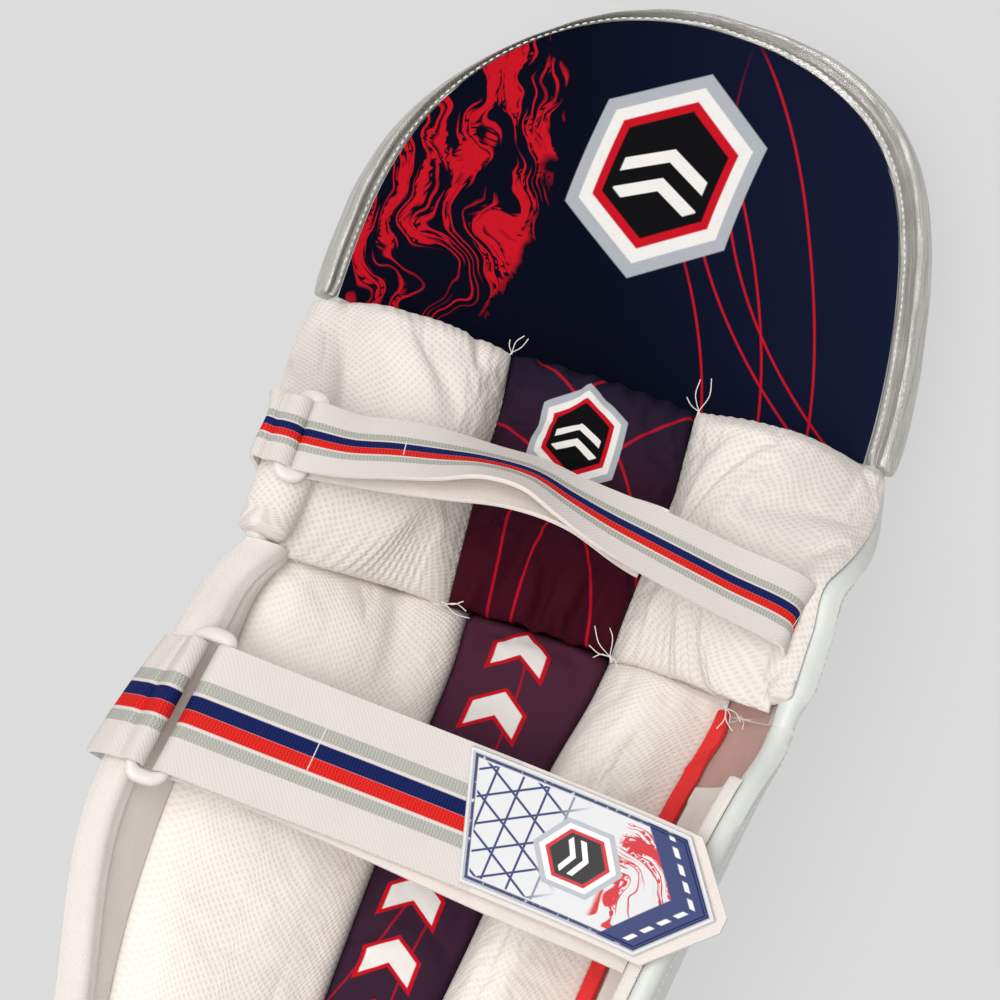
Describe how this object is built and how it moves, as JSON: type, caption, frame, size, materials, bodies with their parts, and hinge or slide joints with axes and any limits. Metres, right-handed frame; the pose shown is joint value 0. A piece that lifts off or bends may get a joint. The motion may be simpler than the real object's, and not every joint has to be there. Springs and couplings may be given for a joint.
{
  "type": "cricket batting pad",
  "caption": "Leg guard worn for batting: a padded trough over shin and knee with a rounded thigh flap, mesh-covered bolsters inside and striped straps that close through plastic loops.",
  "frame": {"origin": "middle of the pad's base, on the surface that its front lies on", "axes": "+X across the pad to its right wing seen from the leg side, +Y up the leg to the thigh flap, +Z from the front of the pad to the leg"},
  "size_m": [0.2557, 0.6822, 0.1292],
  "materials": {
    "facing": "white coated leather-grain facing, satin",
    "print": "dark printed padded lining cloth, fine weave",
    "silver_piping": "silver coated piping, satin",
    "mesh": "cream white open-hole spacer mesh",
    "edge_tape": "red woven edge tape",
    "lining": "cream lining cloth",
    "webbing": "striped woven strap webbing",
    "loop_plastic": "white moulded plastic",
    "patch_rubber": "white soft moulded rubber with a printed design"
  },
  "bodies": {
    "root": {"shin_shell": "facing", "knee_shell": "facing", "shin_rib_1": "facing", "shin_rib_2": "facing", "shin_rib_3": "facing", "shin_rib_4": "facing", "shin_rib_5": "facing", "shin_rib_6": "facing", "shin_rib_7": "facing", "knee_roll_lower": "facing", "knee_roll_middle": "facing", "knee_roll_upper": "facing", "flap_rib_1": "facing", "flap_rib_2": "facing", "flap_rib_3": "facing", "flap_rib_4": "facing", "flap_rib_5": "facing", "thigh_flap": "print", "knee_panel": "print", "shin_panel": "print", "flap_binding": "silver_piping", "knee_bolster_left": "mesh", "knee_bolster_right": "mesh", "shin_bolster_left": "mesh", "shin_bolster_right": "mesh", "bolster_edge_tape": "edge_tape", "wing_lining_left": "lining", "wing_lining_right": "lining", "knee_strap": "webbing", "knee_strap_tab": "webbing", "calf_strap": "webbing", "calf_strap_tab": "webbing", "ankle_strap": "webbing", "ankle_strap_tab": "webbing", "knee_strap_loop": "loop_plastic", "calf_strap_loop": "loop_plastic", "ankle_strap_loop": "loop_plastic", "calf_strap_patch": "patch_rubber"}
  },
  "joints": []
}
